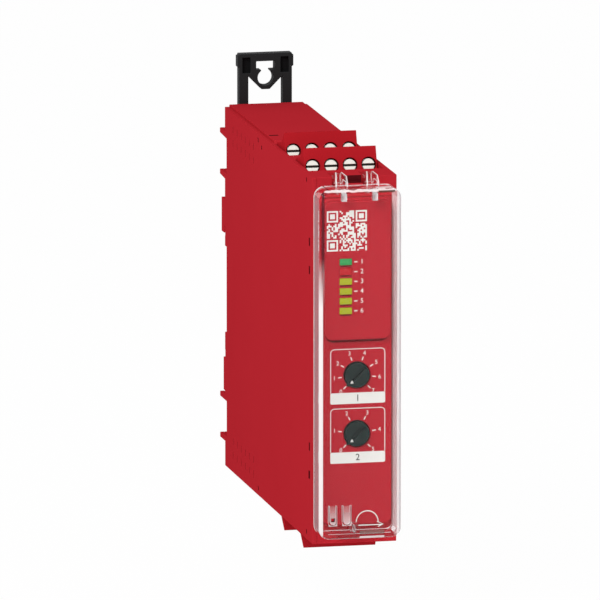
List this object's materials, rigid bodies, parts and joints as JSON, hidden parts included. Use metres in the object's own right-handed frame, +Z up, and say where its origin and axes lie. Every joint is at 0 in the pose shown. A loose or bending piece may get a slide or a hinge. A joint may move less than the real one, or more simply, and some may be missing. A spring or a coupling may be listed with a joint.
{
  "type": "safety relay",
  "caption": "Narrow rail-mounted safety relay: red moulded case, clear hinged cover over two selectors and lamps, pluggable screw terminals and a pull-out lug.",
  "frame": {"origin": "rail centre line on the plane where the rail's flanges seat, at mid-width", "axes": "+X to the right seen from the front, +Y back towards the rail, +Z up"},
  "size_m": [0.0226, 0.1234, 0.1162],
  "materials": {
    "header_plastic": "moulded",
    "cage_metal": "zinc plated",
    "screw_metal": "zinc plated",
    "clear_cover": "clear polycarbonate, polished",
    "chip_package": "moulded",
    "capacitor_can": "sleeved",
    "circuit_board": "solder mask",
    "red_moulding": "fine moulded grain",
    "tinned_pin": "tinned",
    "lamp_green": "translucent",
    "lamp_red": "translucent",
    "lamp_yellow_green": "translucent",
    "black_slider": "moulded",
    "relay_case": "moulded",
    "contact_metal": "tinned bronze",
    "switch_body": "moulded",
    "dark_knob": "moulded",
    "led_body": "moulded",
    "red_plug": "moulded",
    "winding_tape": "tape",
    "ferrite": "sintered"
  },
  "bodies": {
    "root": {"board_link_front": "header_plastic", "board_link_lower": "header_plastic", "board_link_upper": "header_plastic", "controller_lower": "chip_package", "controller_upper": "chip_package", "filter_capacitors": "capacitor_can", "front_board": "circuit_board", "front_panel": "red_moulding", "header_pins_lower_front": "tinned_pin", "header_pins_lower_rear": "tinned_pin", "header_pins_upper_front": "tinned_pin", "header_pins_upper_rear": "tinned_pin", "housing": "red_moulding", "indicator_plate": "red_moulding", "light_guide_1": "lamp_green", "light_guide_2": "lamp_red", "light_guide_3": "lamp_yellow_green", "light_guide_4": "lamp_yellow_green", "light_guide_5": "lamp_yellow_green", "light_guide_6": "lamp_yellow_green", "main_board": "circuit_board", "output_relay_1": "relay_case", "output_relay_2": "relay_case", "output_relay_3": "relay_case", "pin_header_lower_front": "header_plastic", "pin_header_lower_rear": "header_plastic", "pin_header_upper_front": "header_plastic", "pin_header_upper_rear": "header_plastic", "rotary_switch_lower": "switch_body", "rotary_switch_upper": "switch_body", "side_cover": "red_moulding", "status_leds": "led_body", "terminal_board_lower": "circuit_board", "terminal_board_upper": "circuit_board", "transformer_coil": "winding_tape", "transformer_core": "ferrite"},
    "plug_upper_front": {"terminal_plug_upper_front": "red_plug", "clamp_screws_upper_front": "screw_metal", "clamp_cages_upper_front": "cage_metal", "plug_contacts_upper_front": "contact_metal"},
    "plug_upper_rear": {"terminal_plug_upper_rear": "red_plug", "clamp_screws_upper_rear": "screw_metal", "clamp_cages_upper_rear": "cage_metal", "plug_contacts_upper_rear": "contact_metal"},
    "plug_lower_front": {"terminal_plug_lower_front": "red_plug", "clamp_screws_lower_front": "screw_metal", "clamp_cages_lower_front": "cage_metal", "plug_contacts_lower_front": "contact_metal"},
    "plug_lower_rear": {"terminal_plug_lower_rear": "red_plug", "clamp_screws_lower_rear": "screw_metal", "clamp_cages_lower_rear": "cage_metal", "plug_contacts_lower_rear": "contact_metal"},
    "cover": {"clear_cover": "clear_cover"},
    "lug": {"mounting_lug": "black_slider"},
    "catch": {"rail_catch": "black_slider"},
    "knob_upper": {"selector_knob_upper": "dark_knob"},
    "knob_lower": {"selector_knob_lower": "dark_knob"}
  },
  "joints": [
    {"name": "unplug_upper_front", "type": "slide", "parent": "root", "child": "plug_upper_front", "axis": [0, 0, 1], "range_m": [0, 0.014]},
    {"name": "unplug_upper_rear", "type": "slide", "parent": "root", "child": "plug_upper_rear", "axis": [0, 0, 1], "range_m": [0, 0.014]},
    {"name": "unplug_lower_front", "type": "slide", "parent": "root", "child": "plug_lower_front", "axis": [0, 0, -1], "range_m": [0, 0.014]},
    {"name": "unplug_lower_rear", "type": "slide", "parent": "root", "child": "plug_lower_rear", "axis": [0, 0, -1], "range_m": [0, 0.014]},
    {"name": "cover_hinge", "type": "hinge", "parent": "root", "child": "cover", "pos_m": [0, -0.1056, 0.0492], "axis": [-1, 0, 0], "range_deg": [0, 115]},
    {"name": "lug_slide", "type": "slide", "parent": "root", "child": "lug", "axis": [0, 0, -1], "range_m": [0, 0.0138]},
    {"name": "catch_slide", "type": "slide", "parent": "root", "child": "catch", "axis": [0, 0, -1], "range_m": [0, 0.0138]},
    {"name": "selector_upper", "type": "hinge", "parent": "root", "child": "knob_upper", "pos_m": [0, -0.1105, -0.0019], "axis": [0, 1, 0], "range_deg": [0, 270]},
    {"name": "selector_lower", "type": "hinge", "parent": "root", "child": "knob_lower", "pos_m": [0, -0.1105, -0.0175], "axis": [0, 1, 0], "range_deg": [0, 270]}
  ]
}
